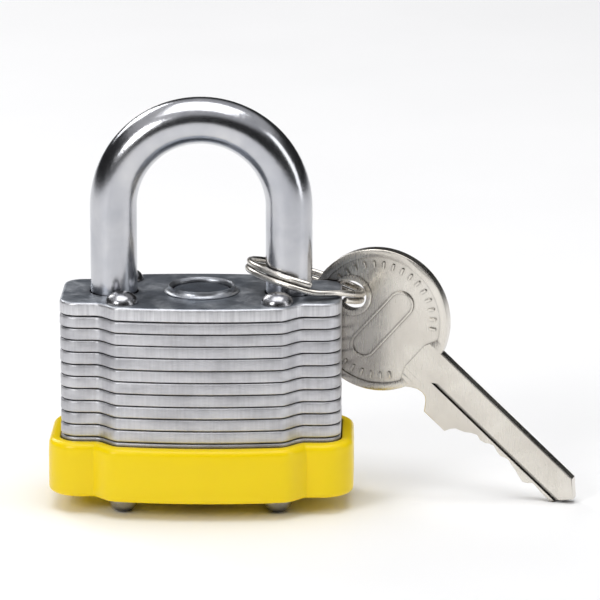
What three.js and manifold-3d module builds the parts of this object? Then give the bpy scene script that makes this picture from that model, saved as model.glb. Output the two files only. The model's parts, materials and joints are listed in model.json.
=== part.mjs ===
// A laminated steel padlock, 40 mm wide, with a split ring round its captive leg and a key on the ring.
// Millimetres, +Z up, the front faces -Y. The origin is the centre of the flat disc on top of the body,
// midway between the shackle's legs. Sizes below the origin are measured from the top plate's upper face.
import * as THREE from "three";
import { mergeVertices } from "three/addons/utils/BufferGeometryUtils.js";
import Module from "manifold-3d";

const wasm = await Module();
wasm.setup();

// Body: a stack of stamped plates.
const BODY_WIDTH = 40;
const BODY_DEPTH = 22.2;
const END_DEPTH = 14.9;
const FRONT_CROWN = 0.85;
const STEP_INNER = 8.7; // from the end of the body in to the deep middle section
const STEP_OUTER = 5.1; // from the end of the body in to the shallow end section
const CORNER_RADIUS = 2.8;
const PLATE_COUNT = 15;
const TOP_PLATE_THICKNESS = 1.93;
const PLATE_PITCH = 1.766;
const PLATE_GAP = 0.05;

// Shackle and what holds it.
const LEG_INSET = 7.5; // from the end of the body in to the middle of a leg
const ROD_RADIUS = 3.35;
const STRAIGHT_ABOVE = 12.45;
const LIFT = 8.5;
const NOTCH_DEPTH = 1.2;
const NOTCH_SPARE = 0.1;
const NECK_RADIUS = 2.05;
const LEG_LIP = 1.0;
const TOE_TAPER = 0.4;
const FOOT_HEIGHT = 1.6;
const FOOT_SPARE = 0.2;
const SPRING_WIRE = 0.4;
const SPRING_COIL = 2.3;
const SPRING_TURNS = 3.5;

// Bolts and cam.
const FIRST_BOLT_PLATE = 2;
const BOLT_PLATES = 2;
const BOLT_MARGIN = 0.12;
const BOLT_WIDTH = 6.8;
const BOLT_THROW = 1.5;
const BOLT_TO_LEG = 0.55;
const BOLT_SET_BACK = 2.4; // the bolts' middle, behind the plug's axis
const CAM_HALF_LENGTH = 4.5;
const CAM_HALF_WIDTH = 3;
const CAM_TO_BOLT = 0.3;

// Pin cylinder.
const PLUG_RADIUS = 5;
const PLUG_SET_FORWARD = 3.4; // the plug's axis, forward of the body's middle
const PLUG_NECK_RADIUS = 4;
const LEDGE_HEIGHT = 1.2;
const HOUSING_WALL = 1.25;
const PIN_BLOCK_WIDTH = 6;
const PIN_BLOCK_REACH = 8.5;
const COVER_THICKNESS = 0.8;
const KEYWAY_WIDTH = 2.2;
const KEYWAY_BACK = 3;
const KEYWAY_FRONT = 3.6;
const PIN_COUNT = 5;
const LAST_PIN_ABOVE_FLOOR = 2.7;
const FIRST_PIN_WEB = 0.3; // between the highest chamber and the plug's shoulder
const PIN_RADIUS = 1.2;
const KEY_PIN_TIPS = [0.2, -0.3, 0.5, -0.1, 0.4];
const KEY_PIN_SHORT = 0.25; // below the shear line
const DRIVER_LENGTH = 2.5;
const DRIVER_ABOVE_SHEAR = 0.2;
const PIN_SPRING_WIRE = 0.18;
const PIN_SPRING_COIL = 0.85;
const PIN_SPRING_TURNS = 4;
const CHAMBER_PAST_AXIS = 1; // how far the chambers run forward of the plug's axis

// Bumper, rivets and the round boss on top.
const BUMPER_WALL = 1.7;
const BUMPER_CLEARANCE = 0.1;
const BUMPER_HEIGHT = 7.9;
const BUMPER_FLOOR = 1.4;
const BUMPER_ROUNDING = 0.9;
const PLUG_INTO_FLOOR = 0.84; // how far up the bumper's floor the plug's face stands
const PLUG_FACE_GAP = 0.5;
const RIVET_INSET_X = 9; // from the end of the body
const RIVET_INSET_Y = 4.1; // from its front and back
const RIVET_RADIUS = 1.5;
const RIVET_HEAD_RADIUS = 2.35;
const RIVET_HEAD_HEIGHT = 1.6;
const RIVET_TAIL_HEIGHT = 2.5;
const RIVET_FLAT_RADIUS = 0.9; // the flattened end that each tail stands on
const COLLAR_BASE_RADIUS = 5.4;
const COLLAR_RIM_RADIUS = 4.75;
const COLLAR_BORE_RADIUS = 4.25;
const COLLAR_HEIGHT = 1;
const DISC_PROUD = 0.4;

// Split ring.
const RING_MEAN_RADIUS = 8.45;
const RING_RIGHT = 2.28; // the ring's middle, to the right of the captive leg's
const RING_BACK = 3.426; // and behind it
const RING_DIP = 0.079; // how far the ring's middle is below that of a ring flat on the plate
const RING_WIRE_RADIUS = 0.47;
const RING_TURN_GAP = 0.03;
const RING_FALL_RIGHT = 0.285;
const RING_FALL_BACK = 0.119;
const RING_JOIN_ANGLE = -65;
const RING_JOIN_HALF = 20;

// Key, in its own frame: X along the blade from the bow's centre, Y across it, Z through its thickness.
const KEY_THICKNESS = 1.9;
const BOW_RADIUS = 10.5;
const BOW_RIM = 1.1;
const BOW_RECESS = 0.25;
const KEY_HOLE_RADIUS = 2.2;
const KEY_HOLE_OFFSET = 5.15;
const KEY_HOLE_RIM = 0.7;
const FIELD_END = 7;
const BLADE_START = 8.2; // inside the bow
const BLADE_SPINE = 3.1;
const BLADE_LAND = -5.2;
const SHOULDER_START = 12.2;
const SHOULDER_END = 13.9;
const TIP_START = 36;
const TIP_END = 38.2;
const TIP_HEIGHT = 1;
const BITTING = [[18.1, -5.2], [18.5, -4.0], [20.2, -3.1], [21.8, -2.1], [23.4, -2.15], [24.6, -1.5],
  [26.3, -1.95], [27.4, -1.5], [29.2, -1.9], [31.2, -2.5], [32.4, -1.5], [34.5, -1.7]];
const GROOVE_TOP = -0.6;
const GROOVE_BOTTOM = -1.2;
const GROOVE_DEPTH = 0.55;
const KEY_ON_RING_ANGLE = 28.4; // where on the ring the key hangs
const KEY_HANG_GAP = 0.723; // from the top of the hole down to the wire
const KEY_ASIDE = 0.275; // the hole's centre, to the right of the wire
const KEY_FRONT = 0.95; // the key's front face, in front of the middle of the wire
const KEY_SLOPE = 41.25;
const KEY_YAW = 15.4;
const KEY_LEAN = 0.31;

// Running clearances and facets.
const SHANK_CLEARANCE = 0.1;
const ROD_CLEARANCE = 0.15;
const BORE_CLEARANCE = 0.05;
const PIN_CLEARANCE = 0.12;
const LEDGE_CLEARANCE = 0.15;
const SLIDE_CLEARANCE = 0.1;
const END_CLEARANCE = 0.04; // between pieces stacked end to end inside the body
const SPRING_END_CLEARANCE = 0.05;
const PAST = 1; // how far a cutting tool runs past what it cuts
const OVERLAP = 0.1; // how far pieces that are joined into one solid run into each other
const STEP_IN = 0.05; // how much slimmer a turned end is than the rod it continues
const ROD_SIDES = 16;
const SMALL_SIDES = 10;
const PIN_SIDES = 8;
const BORE_SIDES = 20;
const WIRE_SIDES = 5;
const RING_SIDES = 7;
const RING_STEPS = 64;
const SHACKLE_STEPS = 36;
const BOW_SIDES = 40;

const stackHeight = TOP_PLATE_THICKNESS + (PLATE_COUNT - 1) * PLATE_PITCH;
const plateTop = (number) =>
  number === 1 ? 0 : -TOP_PLATE_THICKNESS - (number - 2) * PLATE_PITCH - PLATE_GAP;
const plateBottom = (number) =>
  number === 1 ? -TOP_PLATE_THICKNESS : -TOP_PLATE_THICKNESS - (number - 1) * PLATE_PITCH;
const legX = BODY_WIDTH / 2 - LEG_INSET;
const rivetX = BODY_WIDTH / 2 - RIVET_INSET_X;
const rivetY = BODY_DEPTH / 2 - RIVET_INSET_Y;
const plugY = -PLUG_SET_FORWARD;
const lastBoltPlate = FIRST_BOLT_PLATE + BOLT_PLATES - 1;
const toePlate = lastBoltPlate + 1;
const retainerPlate = toePlate + 1;
const boltTop = plateTop(FIRST_BOLT_PLATE) - BOLT_MARGIN;
const boltBottom = plateBottom(lastBoltPlate) + BOLT_MARGIN;
const legInner = legX - ROD_RADIUS;
const boltNose = legInner - BOLT_TO_LEG;
const boltHeel = CAM_HALF_WIDTH + CAM_TO_BOLT;
const boltY = plugY + BOLT_SET_BACK;
const plugTop = plateTop(toePlate) - END_CLEARANCE;
const housingTop = plugTop - SLIDE_CLEARANCE;
const housingBottom = -stackHeight + END_CLEARANCE;
const bumperFloorTop = -stackHeight - PLATE_GAP;
const bumperBottom = bumperFloorTop - BUMPER_FLOOR;
const bumperTop = bumperBottom + BUMPER_HEIGHT;
const plugBottom = bumperFloorTop - PLUG_INTO_FLOOR;
const discRadius = COLLAR_BORE_RADIUS - SHANK_CLEARANCE;
const housingRadius = PLUG_RADIUS + HOUSING_WALL;
const pinBase = -stackHeight + LAST_PIN_ABOVE_FLOOR;
const shearY = plugY + PLUG_RADIUS;

// Materials.
const finish = (color, metalness, roughness) =>
  new THREE.MeshStandardMaterial({ color, metalness, roughness });
const plateSteel = finish(0xb9bac0, 1, 0.35);
const platedSteel = finish(0xd8d9dc, 1, 0.18);
const nickel = finish(0xcfc9bf, 1, 0.25);
const darkSteel = finish(0x3b424c, 0.6, 0.6);
const springSteel = finish(0x9a9ca0, 1, 0.35);
const brass = finish(0xc7a24a, 1, 0.3);
const yellowPlastic = finish(0xf4c808, 0, 0.45);

// A closed mesh becomes a solid for cutting, and a solid becomes a geometry again.
function solid(geometry) {
  const plain = geometry.clone();
  plain.deleteAttribute("normal");
  plain.deleteAttribute("uv");
  const merged = mergeVertices(plain, 1e-4);
  return new wasm.Manifold(new wasm.Mesh({
    numProp: 3,
    vertProperties: merged.attributes.position.array,
    triVerts: new Uint32Array(merged.index.array),
  }));
}

function geometryOf(body) {
  const mesh = body.getMesh();
  const geometry = new THREE.BufferGeometry();
  geometry.setAttribute("position", new THREE.BufferAttribute(new Float32Array(mesh.vertProperties), 3));
  geometry.setIndex(new THREE.BufferAttribute(new Uint32Array(mesh.triVerts), 1));
  const flat = geometry.toNonIndexed();
  flat.computeVertexNormals();
  return flat;
}

// The radius of a hole with flat sides that a round part of this radius passes through.
const holeRadius = (radius, clearance, sides) => (radius + clearance) / Math.cos(Math.PI / sides);

function extrude(outline, bottom, top) {
  const shape = new THREE.Shape(outline);
  const geometry = new THREE.ExtrudeGeometry(shape, { depth: top - bottom, bevelEnabled: false });
  return geometry.translate(0, 0, bottom);
}

function circle(x, y, radius, sides) {
  const points = [];
  for (let i = 0; i < sides; i++) {
    const angle = (2 * Math.PI * (i + 0.5)) / sides;
    points.push(new THREE.Vector2(x + radius * Math.cos(angle), y + radius * Math.sin(angle)));
  }
  return points;
}

function rectangle(left, front, right, back) {
  return [
    new THREE.Vector2(left, front),
    new THREE.Vector2(right, front),
    new THREE.Vector2(right, back),
    new THREE.Vector2(left, back),
  ];
}

const roundBar = (x, y, radius, bottom, top, sides) => extrude(circle(x, y, radius, sides), bottom, top);
const block = (left, front, right, back, bottom, top) =>
  extrude(rectangle(left, front, right, back), bottom, top);

// A round bar along Y.
function crossBar(y0, y1, z, radius, sides) {
  const bar = new THREE.CylinderGeometry(radius, radius, y1 - y0, sides);
  return bar.translate(0, (y0 + y1) / 2, z);
}

function lathe(profile, sides) {
  const points = profile.map(([radius, height]) => new THREE.Vector2(radius, height));
  return new THREE.LatheGeometry(points, sides).rotateX(Math.PI / 2);
}

function cut(base, tools) {
  let body = solid(base);
  for (const tool of tools) body = body.subtract(solid(tool));
  return geometryOf(body);
}

// A round wire along a curve.
function wire(curve, radius, steps, sides) {
  const section = new THREE.Shape(circle(0, 0, radius, sides));
  return new THREE.ExtrudeGeometry(section, { steps, bevelEnabled: false, extrudePath: curve });
}

// One quarter of the plates' plan outline, from the middle of the front round to the end.
function quarterOutline() {
  const points = [];
  const end = BODY_WIDTH / 2;
  const stepStart = end - STEP_INNER;
  const stepEnd = end - STEP_OUTER;
  const shoulder = BODY_DEPTH / 2 - FRONT_CROWN;
  for (let i = 1; i <= 2; i++) {
    const x = (stepStart * i) / 2;
    points.push([x, BODY_DEPTH / 2 - FRONT_CROWN * (x / stepStart) ** 2]);
  }
  for (let i = 1; i <= 4; i++) {
    const blend = (1 - Math.cos((Math.PI * i) / 4)) / 2;
    points.push([stepStart + ((stepEnd - stepStart) * i) / 4, shoulder + (END_DEPTH / 2 - shoulder) * blend]);
  }
  for (let i = 0; i <= 3; i++) {
    const angle = Math.PI / 2 - (Math.PI / 2) * (i / 3);
    points.push([
      end - CORNER_RADIUS + CORNER_RADIUS * Math.cos(angle),
      END_DEPTH / 2 - CORNER_RADIUS + CORNER_RADIUS * Math.sin(angle),
    ]);
  }
  return points;
}

// The whole outline, anticlockwise, grown outwards by a distance.
function bodyOutline(grow = 0) {
  const quarter = quarterOutline();
  const back = [...quarter].reverse();
  const points = [
    ...back.map(([x, y]) => new THREE.Vector2(x, y)),
    new THREE.Vector2(0, BODY_DEPTH / 2),
    ...quarter.map(([x, y]) => new THREE.Vector2(-x, y)),
    ...back.map(([x, y]) => new THREE.Vector2(-x, -y)),
    new THREE.Vector2(0, -BODY_DEPTH / 2),
    ...quarter.map(([x, y]) => new THREE.Vector2(x, -y)),
  ];
  return points.map((point, i) => {
    const before = points[(i + points.length - 1) % points.length];
    const after = points[(i + 1) % points.length];
    const into = point.clone().sub(before).normalize();
    const out = after.clone().sub(point).normalize();
    const normal = new THREE.Vector2(into.y + out.y, -into.x - out.x).normalize();
    const mitre = grow / Math.max(normal.x * out.y - normal.y * out.x, 0.5);
    return point.clone().addScaledVector(normal, mitre);
  });
}

const lock = new THREE.Group();
lock.position.z = -DISC_PROUD;

function add(name, geometry, material, parent = lock) {
  const mesh = new THREE.Mesh(geometry, material);
  mesh.name = name;
  parent.add(mesh);
  return mesh;
}

// Plates. Each is the outline with the holes that its level needs.
const rivetPlaces = [
  ["front_left", -rivetX, -rivetY],
  ["front_right", rivetX, -rivetY],
  ["rear_left", -rivetX, rivetY],
  ["rear_right", rivetX, rivetY],
];
const rivetHole = holeRadius(RIVET_RADIUS, SHANK_CLEARANCE, SMALL_SIDES);
const legHole = holeRadius(ROD_RADIUS, ROD_CLEARANCE, ROD_SIDES);
const outline = bodyOutline();

function plateTools(number) {
  const low = plateBottom(number) - PAST;
  const high = plateTop(number) + PAST;
  const tools = rivetPlaces.map(([, x, y]) => roundBar(x, y, rivetHole, low, high, SMALL_SIDES));
  if (number <= toePlate) tools.push(roundBar(-legX, 0, legHole, low, high, ROD_SIDES));
  if (number !== retainerPlate && number < PLATE_COUNT)
    tools.push(roundBar(legX, 0, legHole, low, high, ROD_SIDES));
  if (number === 1)
    tools.push(roundBar(0, 0, holeRadius(discRadius, SHANK_CLEARANCE, BORE_SIDES), low, high, BORE_SIDES));
  if (number >= FIRST_BOLT_PLATE && number <= lastBoltPlate) {
    const reach = boltNose + BOLT_THROW + SLIDE_CLEARANCE;
    const side = BOLT_WIDTH / 2 + SLIDE_CLEARANCE;
    tools.push(block(-reach, boltY - side, reach, boltY + side, low, high));
    const cavity = CAM_HALF_LENGTH + CAM_TO_BOLT;
    tools.push(roundBar(0, plugY, cavity, low, high, BORE_SIDES));
  }
  if (number > lastBoltPlate) {
    const hole = holeRadius(housingRadius, SLIDE_CLEARANCE, BORE_SIDES);
    const side = PIN_BLOCK_WIDTH / 2 + SLIDE_CLEARANCE;
    tools.push(roundBar(0, plugY, hole, low, high, BORE_SIDES));
    tools.push(block(-side, plugY, side, PIN_BLOCK_REACH + COVER_THICKNESS + SLIDE_CLEARANCE, low, high));
  }
  if (number === retainerPlate) {
    const slot = NECK_RADIUS + ROD_CLEARANCE * 2;
    tools.push(roundBar(legX, 0, holeRadius(slot, 0, ROD_SIDES), low, high, ROD_SIDES));
    tools.push(block(0, -slot, legX, slot, low, high));
  }
  return tools;
}

for (let number = 1; number <= PLATE_COUNT; number++) {
  const name = number === 1 ? "top_plate" : "plate_" + String(number).padStart(2, "0");
  add(name, cut(extrude(outline, plateBottom(number), plateTop(number)), plateTools(number)), plateSteel);
}

// The boss on top: an upset collar with a flat disc in it, the upper end of the cylinder's bearing.
add("crown_collar", lathe([
  [COLLAR_BORE_RADIUS, 0],
  [COLLAR_BASE_RADIUS, 0],
  [COLLAR_RIM_RADIUS, COLLAR_HEIGHT],
  [COLLAR_BORE_RADIUS, COLLAR_HEIGHT],
  [COLLAR_BORE_RADIUS, 0],
], BORE_SIDES), platedSteel);
add("crown_disc", roundBar(0, 0, discRadius, -TOP_PLATE_THICKNESS, DISC_PROUD, BORE_SIDES), darkSteel);

// Rivets: a domed head, a shank through every plate and the bumper's floor, and a domed tail below.
function dome(radius, height, steps) {
  const points = [];
  for (let i = 0; i <= steps; i++) {
    const angle = (Math.PI / 2) * (i / steps);
    points.push([radius * Math.cos(angle), height * Math.sin(angle)]);
  }
  return points;
}

for (const [place, x, y] of rivetPlaces) {
  const head = dome(RIVET_HEAD_RADIUS, RIVET_HEAD_HEIGHT, 4);
  const tail = dome(RIVET_HEAD_RADIUS, RIVET_TAIL_HEIGHT, 4).map(([r, h]) => [r, bumperBottom - h]);
  const foot = bumperBottom - RIVET_TAIL_HEIGHT;
  tail.splice(3, 2, [RIVET_FLAT_RADIUS, foot], [0, foot]);
  head[head.length - 1][0] = 0;
  const profile = [...tail.reverse(), [RIVET_RADIUS, bumperBottom], [RIVET_RADIUS, 0], ...head];
  add("rivet_" + place, lathe(profile, SMALL_SIDES).translate(x, y, 0), platedSteel);
}

// Bumper: a tray with a rounded lip that wraps the lowest plates.
function bumperGeometry() {
  const outer = BUMPER_CLEARANCE + BUMPER_WALL;
  const rounding = BUMPER_ROUNDING;
  const layers = [
    [outer - rounding * 0.45, bumperBottom],
    [outer, bumperBottom + rounding * 0.6],
    [outer, bumperTop - rounding],
    [outer - rounding * 0.3, bumperTop - rounding * 0.3],
    [outer - rounding, bumperTop],
  ];
  let body = null;
  for (let i = 0; i + 1 < layers.length; i++) {
    const [lowGrow, lowZ] = layers[i];
    const [highGrow, highZ] = layers[i + 1];
    const slab = solid(loft(bodyOutline(lowGrow), lowZ, bodyOutline(highGrow), highZ));
    body = body ? body.add(slab) : slab;
  }
  const low = bumperBottom - PAST;
  body = body.subtract(solid(extrude(bodyOutline(BUMPER_CLEARANCE), bumperFloorTop, bumperTop + PAST)));
  for (const [, x, y] of rivetPlaces)
    body = body.subtract(solid(roundBar(x, y, rivetHole, low, bumperFloorTop + PAST, SMALL_SIDES)));
  const face = holeRadius(PLUG_RADIUS, PLUG_FACE_GAP, BORE_SIDES);
  return geometryOf(body.subtract(solid(roundBar(0, plugY, face, low, bumperFloorTop + PAST, BORE_SIDES))));
}

// A closed solid between two outlines with the same number of points.
function loft(lower, lowZ, upper, highZ) {
  const count = lower.length;
  const positions = [];
  for (const point of lower) positions.push(point.x, point.y, lowZ);
  for (const point of upper) positions.push(point.x, point.y, highZ);
  const index = [];
  for (let i = 0; i < count; i++) {
    const next = (i + 1) % count;
    index.push(i, next, count + next, i, count + next, count + i);
  }
  for (const [a, b, c] of THREE.ShapeUtils.triangulateShape(lower, [])) index.push(a, c, b);
  for (const [a, b, c] of THREE.ShapeUtils.triangulateShape(upper, []))
    index.push(count + a, count + b, count + c);
  const geometry = new THREE.BufferGeometry();
  geometry.setAttribute("position", new THREE.Float32BufferAttribute(positions, 3));
  geometry.setIndex(index);
  return geometry;
}

add("bumper", bumperGeometry(), yellowPlastic);

// Shackle: one bent rod. The left leg is the free toe. The right leg is the captive heel: below its bolt
// notch it is turned down to a neck, and the foot under the neck stops the lift at the retainer plate.
const footTop = plateBottom(retainerPlate) - FOOT_SPARE - LIFT;
const footBottom = footTop - FOOT_HEIGHT;
const lipTop = boltBottom - NOTCH_SPARE;
const lipBottom = lipTop - LEG_LIP;

class ShacklePath extends THREE.Curve {
  getPoint(t, target = new THREE.Vector3()) {
    const below = -lipBottom;
    const straight = STRAIGHT_ABOVE + below;
    const arc = Math.PI * legX;
    const along = t * (2 * straight + arc);
    if (along <= straight) return target.set(-legX, 0, -below + along);
    if (along >= straight + arc) return target.set(legX, 0, STRAIGHT_ABOVE - (along - straight - arc));
    const angle = Math.PI - (along - straight) / legX;
    return target.set(legX * Math.cos(angle), 0, STRAIGHT_ABOVE + legX * Math.sin(angle));
  }
}

function shackleGeometry() {
  let body = solid(wire(new ShacklePath(), ROD_RADIUS, SHACKLE_STEPS, ROD_SIDES));
  const toe = lathe([
    [0, lipBottom - TOE_TAPER],
    [ROD_RADIUS - TOE_TAPER, lipBottom - TOE_TAPER],
    [ROD_RADIUS - STEP_IN, lipBottom + OVERLAP],
    [0, lipBottom + OVERLAP],
  ], ROD_SIDES).translate(-legX, 0, 0);
  const heel = lathe([
    [0, footBottom],
    [ROD_RADIUS - TOE_TAPER, footBottom],
    [ROD_RADIUS - STEP_IN, footBottom + TOE_TAPER],
    [ROD_RADIUS - STEP_IN, footTop],
    [NECK_RADIUS, footTop],
    [NECK_RADIUS, lipBottom + OVERLAP],
    [0, lipBottom + OVERLAP],
  ], ROD_SIDES).translate(legX, 0, 0);
  body = body.add(solid(toe)).add(solid(heel));
  const notchTop = boltTop + NOTCH_SPARE;
  for (const side of [-1, 1]) {
    const face = legInner + NOTCH_DEPTH;
    const left = Math.min(side * (legInner - PAST), side * face);
    const right = Math.max(side * (legInner - PAST), side * face);
    body = body.subtract(solid(block(left, -2 * ROD_RADIUS, right, 2 * ROD_RADIUS, lipTop, notchTop)));
  }
  return geometryOf(body);
}

add("shackle", shackleGeometry(), platedSteel);

class Coil extends THREE.Curve {
  constructor(radius, length, turns) {
    super();
    this.radius = radius;
    this.length = length;
    this.turns = turns;
  }
  getPoint(t, target = new THREE.Vector3()) {
    const angle = 2 * Math.PI * this.turns * t;
    return target.set(this.radius * Math.cos(angle), this.radius * Math.sin(angle), this.length * t);
  }
}

function coilSpring(radius, wireRadius, length, turns, stepsPerTurn) {
  const path = new Coil(radius, length - 2 * (wireRadius + SPRING_END_CLEARANCE), turns);
  const steps = Math.round(turns * stepsPerTurn);
  return wire(path, wireRadius, steps, WIRE_SIDES).translate(0, 0, wireRadius + SPRING_END_CLEARANCE);
}

const springFloor = plateTop(PLATE_COUNT);
add("shackle_spring", coilSpring(SPRING_COIL, SPRING_WIRE, footBottom - springFloor, SPRING_TURNS, 9)
  .translate(legX, 0, springFloor), springSteel);

// Bolts: two sliding blocks that the cam pushes apart into the notches of the shackle's legs.
for (const [name, side] of [["bolt_left", -1], ["bolt_right", 1]]) {
  const nose = side * boltNose;
  const heel = side * boltHeel;
  const geometry = block(Math.min(nose, heel), boltY - BOLT_WIDTH / 2, Math.max(nose, heel),
    boltY + BOLT_WIDTH / 2, boltBottom, boltTop);
  add(name, geometry, darkSteel);
}

const camShape = [];
for (let i = 0; i < BORE_SIDES; i++) {
  const angle = (2 * Math.PI * i) / BORE_SIDES;
  const across = CAM_HALF_WIDTH * Math.cos(angle);
  const along = CAM_HALF_LENGTH * Math.sin(angle);
  camShape.push(new THREE.Vector2(across, plugY + along));
}
add("cam", extrude(camShape, plugTop, boltTop), darkSteel);

// Cylinder: a housing with a pin block behind it, and a plug that turns in it.
const chamberRadius = holeRadius(PIN_RADIUS, PIN_CLEARANCE, PIN_SIDES);
const ledgeBottom = housingTop - LEDGE_HEIGHT;
const shoulder = ledgeBottom - SLIDE_CLEARANCE;
const highestPin = shoulder - FIRST_PIN_WEB - chamberRadius;
const pinHeights = Array.from({ length: PIN_COUNT }, (_, i) =>
  THREE.MathUtils.lerp(pinBase, highestPin, i / (PIN_COUNT - 1)));
const boreRadius = holeRadius(PLUG_RADIUS, BORE_CLEARANCE, BORE_SIDES);

function housingGeometry() {
  const round = solid(roundBar(0, plugY, housingRadius, housingBottom, housingTop, BORE_SIDES));
  const half = PIN_BLOCK_WIDTH / 2;
  let body = round.add(solid(block(-half, plugY, half, PIN_BLOCK_REACH, housingBottom, housingTop)));
  body = body.subtract(solid(roundBar(0, plugY, boreRadius, housingBottom - PAST, ledgeBottom, BORE_SIDES)));
  const neck = holeRadius(PLUG_NECK_RADIUS, LEDGE_CLEARANCE, BORE_SIDES);
  body = body.subtract(solid(roundBar(0, plugY, neck, ledgeBottom - PAST, housingTop + PAST, BORE_SIDES)));
  const start = plugY + PLUG_RADIUS / 2;
  for (const z of pinHeights)
    body = body.subtract(solid(crossBar(start, PIN_BLOCK_REACH + PAST, z, chamberRadius, PIN_SIDES)));
  return geometryOf(body);
}

function plugGeometry() {
  let body = solid(roundBar(0, plugY, PLUG_RADIUS, plugBottom, shoulder, BORE_SIDES));
  body = body.add(solid(roundBar(0, plugY, PLUG_NECK_RADIUS, shoulder - OVERLAP, plugTop, BORE_SIDES)));
  const half = KEYWAY_WIDTH / 2;
  const front = plugY - KEYWAY_FRONT;
  const back = plugY + KEYWAY_BACK;
  body = body.subtract(solid(block(-half, front, half, back, plugBottom - PAST, shoulder - PAST)));
  const start = plugY - CHAMBER_PAST_AXIS;
  for (const z of pinHeights)
    body = body.subtract(solid(crossBar(start, plugY + PLUG_RADIUS + PAST, z, chamberRadius, PIN_SIDES)));
  return geometryOf(body);
}

add("cylinder_housing", housingGeometry(), brass);
add("cylinder_plug", plugGeometry(), brass);
add("chamber_cover", block(-PIN_BLOCK_WIDTH / 2, PIN_BLOCK_REACH, PIN_BLOCK_WIDTH / 2,
  PIN_BLOCK_REACH + COVER_THICKNESS, housingBottom, housingTop), brass);
for (let i = 0; i < PIN_COUNT; i++) {
  const z = pinHeights[i];
  const number = String(i + 1);
  const driverStart = shearY + DRIVER_ABOVE_SHEAR;
  const springStart = driverStart + DRIVER_LENGTH;
  const keyPin = crossBar(plugY + KEY_PIN_TIPS[i], shearY - KEY_PIN_SHORT, z, PIN_RADIUS, PIN_SIDES);
  add("key_pin_" + number, keyPin, brass);
  add("driver_pin_" + number, crossBar(driverStart, springStart, z, PIN_RADIUS, PIN_SIDES), brass);
  add("pin_spring_" + number, coilSpring(PIN_SPRING_COIL, PIN_SPRING_WIRE, PIN_BLOCK_REACH - springStart,
    PIN_SPRING_TURNS, 7)
    .rotateX(-Math.PI / 2).translate(0, springStart, z), springSteel);
}

// Split ring: two turns of wire that cross over from the lower layer to the upper one at the join.
class SplitRing extends THREE.Curve {
  getPoint(t, target = new THREE.Vector3()) {
    const degrees = RING_JOIN_ANGLE + RING_JOIN_HALF + t * (720 - 2 * RING_JOIN_HALF);
    const rampStart = RING_JOIN_ANGLE - RING_JOIN_HALF + 360;
    const rise = THREE.MathUtils.smoothstep(degrees, rampStart, rampStart + 2 * RING_JOIN_HALF) - 0.5;
    const angle = THREE.MathUtils.degToRad(degrees);
    const turnPitch = 2 * RING_WIRE_RADIUS + RING_TURN_GAP;
    target.set(RING_MEAN_RADIUS * Math.cos(angle), RING_MEAN_RADIUS * Math.sin(angle), turnPitch * rise);
    return target;
  }
}

const ringPlace = new THREE.Group();
const ringHalfHeight = 2 * RING_WIRE_RADIUS + RING_TURN_GAP / 2;
ringPlace.position.set(legX + RING_RIGHT, RING_BACK, ringHalfHeight - RING_DIP);
ringPlace.quaternion.setFromUnitVectors(
  new THREE.Vector3(0, 0, 1),
  new THREE.Vector3(RING_FALL_RIGHT, RING_FALL_BACK, 1).normalize(),
);
lock.add(ringPlace);
add("key_ring", wire(new SplitRing(), RING_WIRE_RADIUS, RING_STEPS, RING_SIDES), nickel, ringPlace);

// Key: a round bow, and a blade cut on one side.
function keyGeometry() {
  const half = KEY_THICKNESS / 2;
  const blade = [
    [BLADE_START, BLADE_SPINE],
    [BLADE_START, -BLADE_SPINE],
    [SHOULDER_START, -BLADE_SPINE],
    [SHOULDER_END, BLADE_LAND],
    ...BITTING,
    [TIP_START, BITTING[BITTING.length - 1][1]],
    [TIP_END, TIP_HEIGHT],
    [TIP_START, BLADE_SPINE],
  ].map(([x, y]) => new THREE.Vector2(x, y));
  let body = solid(roundBar(0, 0, BOW_RADIUS, -half, half, BOW_SIDES));
  body = body.add(solid(extrude(blade, -half, half)));
  body = body.subtract(solid(roundBar(-KEY_HOLE_OFFSET, 0, KEY_HOLE_RADIUS, -half - PAST, half + PAST, 16)));
  for (const side of [-1, 1]) {
    const floor = side * (half - BOW_RECESS);
    const above = side * (half + PAST);
    const low = Math.min(floor, above);
    const high = Math.max(floor, above);
    const fieldRadius = BOW_RADIUS - BOW_RIM;
    let field = solid(roundBar(0, 0, fieldRadius, low, high, 32));
    const neck = block(FIELD_END, -BOW_RADIUS, BOW_RADIUS, BOW_RADIUS, low - PAST, high + PAST);
    field = field.subtract(solid(neck));
    const rim = roundBar(-KEY_HOLE_OFFSET, 0, KEY_HOLE_RADIUS + KEY_HOLE_RIM, low - PAST, high + PAST, 16);
    body = body.subtract(field.subtract(solid(rim)));
    const grooveFloor = side * (half - GROOVE_DEPTH);
    body = body.subtract(solid(block(SHOULDER_END, GROOVE_BOTTOM, TIP_END + PAST, GROOVE_TOP,
      Math.min(grooveFloor, above), Math.max(grooveFloor, above))));
  }
  return geometryOf(body);
}

const radians = THREE.MathUtils.degToRad;
const keyPlace = new THREE.Group();
const upright = new THREE.Matrix4().makeRotationX(Math.PI / 2);
const slope = new THREE.Matrix4().makeRotationY(radians(KEY_SLOPE));
const lean = new THREE.Matrix4().makeRotationX(radians(-KEY_LEAN));
const yaw = new THREE.Matrix4().makeRotationZ(radians(-KEY_YAW));
keyPlace.quaternion.setFromRotationMatrix(yaw.multiply(lean).multiply(slope).multiply(upright));

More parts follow.
